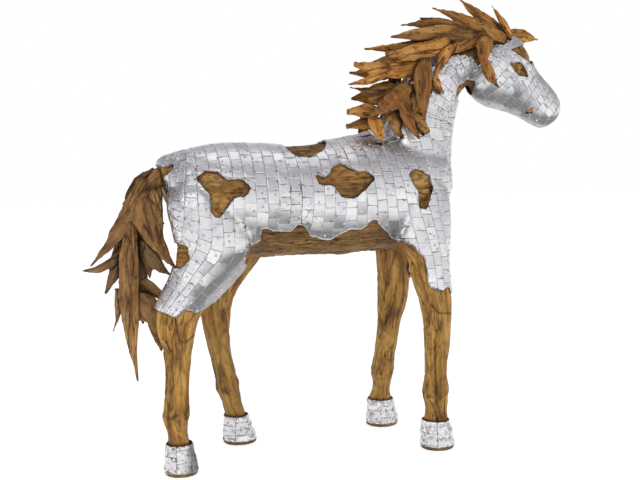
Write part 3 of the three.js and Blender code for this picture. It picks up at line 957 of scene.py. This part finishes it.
hoofTiles = {
    "top": 0.135,
    "voxel": 0.0032,
    "proud": 0.0046,
    "sole": 0.014,
    "soleTop": 0.020,
    "soleProud": 0.0028,
    "radius": 0.058,
    "crumple": 1.2,
    "tileWidth": 0.061,
    "tileHeight": 0.046,
    "lip": 0.0012,
    "groove": 0.0009,
    "skirt": 0.003,
}


def footSlice(corner, proud, rounds, top, bottom):
    bm = softened(["leg_" + corner], "foot", levels=2, voxel=hoofTiles["voxel"], rounds=rounds, swell=proud)
    for height, up in ((top, 1), (bottom, -1)):
        bmesh.ops.bisect_plane(bm, geom=[*bm.verts, *bm.edges, *bm.faces], plane_co=(0, 0, height),
                               plane_no=(0, 0, up), clear_outer=True)
    return bm


def makeHoofCaps():
    for i, corner in enumerate(footCorners):
        bm = footSlice(corner, hoofTiles["proud"], rounds=3, top=hoofTiles["top"], bottom=hoofTiles["sole"])
        bmesh.ops.triangulate(bm, faces=bm.faces)
        bm.normal_update()
        cutCoverage(bm, treeOf(["hoof_cap_" + corner]), 0.3)
        low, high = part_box("hoof_cap_" + corner)
        middle = (low + high) / 2

        def field(point):
            offset = point - middle
            return math.atan2(offset.y, offset.x) * hoofTiles["radius"], point.z

        piece = layTiles(bm, "hoof_tiles_" + corner, field, hoofTiles["tileWidth"], hoofTiles["tileHeight"],
                         seed=61 + i, settings=hoofTiles, crumple=lambda point: hoofTiles["crumple"])
        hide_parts("hoof_cap_" + corner)


makeCoat()
makeHoofCaps()
print("coat laid")

nails = {"radius": 0.0042, "flatness": 0.45, "tint": (0.9, 0.1, 0.1)}


def makeNails():
    bm = bmesh.new()
    for point, normal in nailSpots:
        turn = Vector((0, 0, 1)).rotation_difference(normal).to_matrix().to_4x4()
        place = Matrix.Translation(point) @ turn @ Matrix.Diagonal((1, 1, nails["flatness"], 1))
        bmesh.ops.create_uvsphere(bm, u_segments=8, v_segments=5, radius=nails["radius"], matrix=place)
    tint = bm.verts.layers.float_vector.new("tint")
    for vert in bm.verts:
        vert[tint] = nails["tint"]
    for face in bm.faces:
        face.smooth = True
    metalPiece(bm, "nail_heads")
    print("nails", len(nailSpots))


makeNails()


def makeHemTree():
    tree = KDTree(len(hemPoints))
    for i, point in enumerate(hemPoints):
        tree.insert(point, i)
    tree.balance()
    return tree


hemTree = makeHemTree()


def principalAxis(points):
    centre = sum(points, Vector()) / len(points)
    direction = Vector((1, 0.2, 0.6)).normalized()
    for _ in range(24):
        total = Vector()
        for point in points:
            offset = point - centre
            total += offset * offset.dot(direction)
        direction = total.normalized()
    return centre, direction


# Painted shade: a baked occlusion that darkens the wood where other parts are near.
shadeRays = {"rays": 22, "lift": 0.007, "grazing": 0.12}


def spreadDirections(count):
    found = []
    for i in range(count):
        z = 1 - (2 * i + 1) / count
        r = math.sqrt(1 - z * z)
        angle = i * math.pi * (3 - math.sqrt(5))
        found.append(Vector((r * math.cos(angle), r * math.sin(angle), z)))
    return found


def makePaintedShade():
    directions = spreadDirections(shadeRays["rays"])
    tree = treeOf([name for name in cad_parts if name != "tile_coat"])

    def paintedShadeAt(point, normal, reach):
        start = point + normal * shadeRays["lift"]
        clear, total = 0.0, 0.0
        for direction in directions:
            facing = direction.dot(normal)
            if facing < shadeRays["grazing"]:
                continue
            total += facing
            hit = tree.ray_cast(start, direction, reach)
            if hit[0] is None or hit[1].dot(direction) > 0:
                clear += facing
            else:
                clear += facing * (hit[3] / reach) ** 1.5
        return 1 - clear / total if total else 0.0
    return paintedShadeAt


paintedShadeAt = makePaintedShade()
# How deep each kind of wood is carved and how dark it is; a kind gives only what differs from these.
plainWood = {
    "deep": 0.0006,
    "crack": 0.001,
    "knobs": 0.0,
    "split": 0.0,
    "reach": 0.10,
    "blocks": None,
    "shadowByHem": False,
    "belly": 0.0,
    "darkAtLeast": 0.0,
}


def grooveAt(co, grain, shift, wood, cracks):
    line = abs(noise.noise(Vector((grain[0] * 3.2, grain[1] * 26, grain[2] * 26)) + shift * 1.7))
    spot = Vector(grain)
    groove = max(0.0, 1 - line / 0.055) * ramped(noise.noise(spot * 6 - shift) + wood["split"], -0.05, 0.25)
    if cracks:
        groove = max(groove, cracks(co))
    if wood["blocks"]:
        bent = wander(spot, 14, 0.012) + spot
        across = wood["blocks"][1]
        cell = Vector((bent.x / wood["blocks"][0], bent.y / across, bent.z / across)) + shift
        apart = noise.voronoi(cell)[0]
        groove = max(groove, 0.5 * (1 - ramped(apart[1] - apart[0], 0.0, 0.10)))
    return groove


def darknessAt(vert, dark, wood):
    # Painted shade where nearby parts close in.
    dark = max(dark, ramped(paintedShadeAt(vert.co, vert.normal, wood["reach"]), 0.08, 0.75))
    # Painted shadow: a dark line on the wood along the edge of the metal.
    if wood["shadowByHem"]:
        gap = hemTree.find(vert.co)[2]
        width = 0.004 if onHead(own(vert.co)) else 0.014
        dark = max(dark, 0.95 * (1 - ramped(gap, 0.25 * width, width)))
    # Painted shade on the downward faces of the trunk, by belly.
    return max(dark, wood["darkAtLeast"], wood["belly"] * ramped(-vert.normal.z, 0.1, 0.6))


def weather(bm, axisFrame, seed, settings, tone=None, tips=None, cracks=None, knots=None):
    wood = {**plainWood, **settings}
    if tone is None:
        tone = ramped(random.Random(int(seed * 100)).random(), 0.15, 0.85)
    pieceToneAndShade = bm.verts.layers.float.new("pieceToneAndShade")
    crest = bm.verts.layers.float.new("crest")
    grainAt = bm.verts.layers.float_vector.new("grainAt")
    darkWoodAndShade = bm.verts.layers.float.new("darkWoodAndShade")
    bm.normal_update()
    shift = Vector((seed * 3.7, seed * 1.3, seed * 2.1))
    for vert in bm.verts:
        along, side, up = axisFrame(vert.co)
        g = Vector((along, side, up))
        vert[grainAt] = g + shift
        ridges = noise.noise(Vector((along * 5, side * 22, up * 22)) + shift) * 0.5
        ridges += noise.noise(Vector((along * 9, side * 48, up * 48)) + shift) * 0.3
        lumps = noise.noise(g * 9 + shift)
        groove = grooveAt(vert.co, (along, side, up), shift, wood, cracks)
        # Darker in the cracks, and in the ridge troughs as painted shade.
        dark = groove + max(0.0, -0.9 * ridges - 0.12)
        swollen = knots(vert.co) if knots else 0.0
        if swollen > 0.05:
            dark += 1.6 * swollen * max(0.0, noise.noise(g * 46 + shift) + 0.5 * noise.noise(g * 20 - shift))
        if wood["knobs"]:
            dark += 0.5 * max(0.0, -noise.noise(g * 24 + shift * 1.3) - 0.18)
        dark = darknessAt(vert, dark, wood)
        calm = 1.0
        if tips:
            outward = max(along / tips[1], along / tips[0])
            dark = max(dark, 0.9 * ramped(outward + 0.1 * lumps, 0.80, 1.02))
            calm = 1 - 0.8 * ramped(outward, 0.82, 0.97)
        # This mask holds the wood's own dark marks and the painted shade together.
        vert[darkWoodAndShade] = min(1.0, dark)
        vert[pieceToneAndShade] = tone
        # The crests are lightened partly for wear and partly as painted highlight.
        vert[crest] = ramped(ridges + 0.6 * lumps, 0.10, 0.55) * (1 - vert[darkWoodAndShade])
        knob = noise.noise(g * 24 + shift * 1.3) + 0.6 * noise.noise(g * 52 - shift)
        relief = wood["knobs"] * (1 + 2.2 * swollen) * (knob - 0.1) + 0.003 * swollen
        relief += wood["deep"] * (0.8 * ridges + 0.9 * lumps - 0.35) - wood["crack"] * groove
        vert.co += vert.normal * calm * relief
        vert.co.z = max(0.0, vert.co.z)
    for face in bm.faces:
        face.smooth = True


def woodPiece(name, slot, bm, nodes=()):
    piece = objectFrom(bm, name)
    piece.data.materials.append(materials[slot])
    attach(piece, "root")
    if nodes:
        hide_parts(*nodes)


def plainFrame(co):
    return co.x, co.y, co.z


# Long carved cracks along the belly: each from (x, z) to (x, z), on both sides.
bellyCracks = [
    ((-0.060, 0.756), (0.070, 0.770)),
    ((0.070, 0.770), (0.190, 0.792)),
    ((-0.260, 0.792), (-0.150, 0.778)),
    ((-0.150, 0.778), (0.100, 0.742)),
    ((-0.200, 0.826), (0.000, 0.806)),
    ((0.020, 0.800), (0.200, 0.822)),
]
trunkWood = {
    "deep": 0.007,
    "crack": 0.008,
    "knobs": 0.0035,
    "blocks": (0.11, 0.065),
    "shadowByHem": True,
    "belly": 0.7,
}


def crackDepth(co):
    p = own(co)
    if p.z > 0.87 or p.x < -0.30 or p.x > 0.25:
        return 0.0
    spot = Vector((p.x, p.z + 0.004 * noise.noise(Vector((p.x * 30, 0, 0)))))
    return max(0.0, 1 - nearestOf(spot, bellyCracks) / 0.007)


def makeTrunk():
    bm = softened(["trunk"], "torso", levels=2, voxel=0.0075, rounds=6)
    weather(bm, plainFrame, 1.0, trunkWood, tone=0.6, cracks=crackDepth)
    woodPiece("torso_wood", "trunk_wood", bm, ["trunk"])


legWood = {
    "deep": 0.0036,
    "crack": 0.005,
    "knobs": 0.0012,
    "blocks": (0.38, 0.055),
    "split": 0.1,
    "shadowByHem": True,
}
# Cracks and joints in the wood of the right legs, as (x, z) points on the outer face.
legCracks = {
    "fore_right": [
        [(0.392, 0.423), (0.398, 0.266), (0.404, 0.111)],
        [(0.379, 0.553), (0.404, 0.525), (0.471, 0.521)],
    ],
    "hind_right": [
        [(-0.572, 0.559), (-0.566, 0.517), (-0.556, 0.478)],
        [(-0.556, 0.478), (-0.536, 0.473), (-0.507, 0.491), (-0.486, 0.511)],
    ],
}
knuckle = {"height": 0.215, "spread": 0.035}
# The far (left) legs are toned darker as painted shade.
legToneAndShade = {"hind_right": 0.7, "hind_left": 0.25, "fore_right": 0.65, "fore_left": 0.45}


def legFrame(nodeName):
    levels = {}
    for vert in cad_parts[nodeName].data.vertices:
        levels.setdefault(round(vert.co.z, 3), []).append(Vector((vert.co.x, vert.co.y, 0)))
    rings = sorted((z, sum(group, Vector()) / len(group)) for z, group in levels.items() if len(group) > 5)

    def at(co):
        if co.z <= rings[0][0]:
            middle = rings[0][1]
        elif co.z >= rings[-1][0]:
            middle = rings[-1][1]
        else:
            i = max(i for i, ring in enumerate(rings) if ring[0] <= co.z)
            low, high = rings[i], rings[i + 1]
            middle = low[1].lerp(high[1], (co.z - low[0]) / (high[0] - low[0]))
        return co.z, co.x - middle.x, co.y - middle.y
    return at


def legCrack(corner):
    steps = [step for line in legCracks.get(corner, []) for step in zip(line, line[1:])]

    def depth(co):
        p = own(co)
        if p.y >= -0.13:
            return 0.0
        spot = Vector((p.x + 0.003 * noise.noise(co * 40), p.z + 0.004 * noise.noise(co * 50)))
        return max(0.0, 1 - nearestOf(spot, steps) / 0.0065)
    return depth


def knotted(co):
    return math.exp(-((co.z - knuckle["height"]) / knuckle["spread"]) ** 2)


def makeLegs():
    for i, corner in enumerate(footCorners):
        nodeName = "leg_" + corner
        bm = softened([nodeName], corner, levels=1, voxel=0.0046, rounds=5)
        weather(bm, legFrame(nodeName), 2.3 + i, legWood, tone=legToneAndShade[corner],
                cracks=legCrack(corner), knots=knotted)
        woodPiece(nodeName + "_wood", "leg_wood", bm, [nodeName])


# The soles are darkened all over, to at least darkAtLeast.
soleWood = {"deep": 0.0008, "crack": 0.002, "shadowByHem": True, "darkAtLeast": 0.6}


def makeSoles():
    for i, corner in enumerate(footCorners):
        bm = footSlice(corner, hoofTiles["soleProud"], rounds=1, top=hoofTiles["soleTop"], bottom=0.0)
        bmesh.ops.holes_fill(bm, edges=[edge for edge in bm.edges if edge.is_boundary])
        weather(bm, plainFrame, 9.1 + i, soleWood, tone=0.2)
        woodPiece("hoof_sole_" + corner, "leg_wood", bm)


stickWood = {"deep": 0.0048, "crack": 0.0055, "knobs": 0.0026, "split": 0.16, "reach": 0.07}


def makeSticks():
    names = sorted(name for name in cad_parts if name.startswith(("mane_", "tail_", "ear_")))
    for i, name in enumerate(names):
        bm = softened([name], name, levels=0, voxel=0.0040, rounds=2, swell=0.0008)
        centre, along = principalAxis([vert.co.copy() for vert in bm.verts])
        side = along.cross(Vector((0, 1, 0))).normalized()
        up = along.cross(side)

        def stickFrame(co):
            return (co - centre).dot(along), (co - centre).dot(side), (co - centre).dot(up)

        ends = [stickFrame(vert.co)[0] for vert in bm.verts]
        weather(bm, stickFrame, 5.1 + 0.77 * i, stickWood, tips=(min(ends), max(ends)))
        slot = "tail_driftwood" if name.startswith("tail_") else "mane_driftwood"
        woodPiece(name + "_wood", slot, bm, [name])


knobWood = {"knobs": 0.0008, "reach": 0.001}
headKnobs = {
    "eye": {"along": 0.078, "above": 0.008, "radius": 0.0135, "flat": 0.55, "lobes": 0.0},
    "nostril": {"along": 0.244, "above": -0.067, "radius": 0.0165, "flat": 0.28, "lobes": 0.2},
}


def makeHeadKnobs():
    tree = treeOf(["trunk"])
    for name, knob in headKnobs.items():
        x = centreX + headFrom.x + knob["along"] * math.cos(headPitch) - knob["above"] * math.sin(headPitch)
        z = headFrom.y + knob["along"] * math.sin(headPitch) + knob["above"] * math.cos(headPitch)
        for label, side in (("right", -1), ("left", 1)):
            hit, normal = tree.ray_cast(Vector((x, 0.4 * side, z)), Vector((0, -side, 0)))[:2]
            bm = bmesh.new()
            bmesh.ops.create_icosphere(bm, subdivisions=4, radius=knob["radius"])
            for vert in bm.verts:
                swell = 1 + knob["lobes"] * math.cos(4 * math.atan2(vert.co.y, vert.co.x))
                vert.co = Vector((vert.co.x * swell, vert.co.y * swell, vert.co.z * knob["flat"]))
            turn = Vector((0, 0, 1)).rotation_difference(normal).to_matrix().to_4x4()
            bm.transform(Matrix.Translation(hit + normal * 0.002) @ turn)
            weather(bm, plainFrame, 3.3 + side, knobWood)
            woodPiece(name + "_knob_" + label, "trunk_wood", bm)


makeTrunk()
makeLegs()
makeSoles()
makeSticks()
makeHeadKnobs()
print("wood carved")
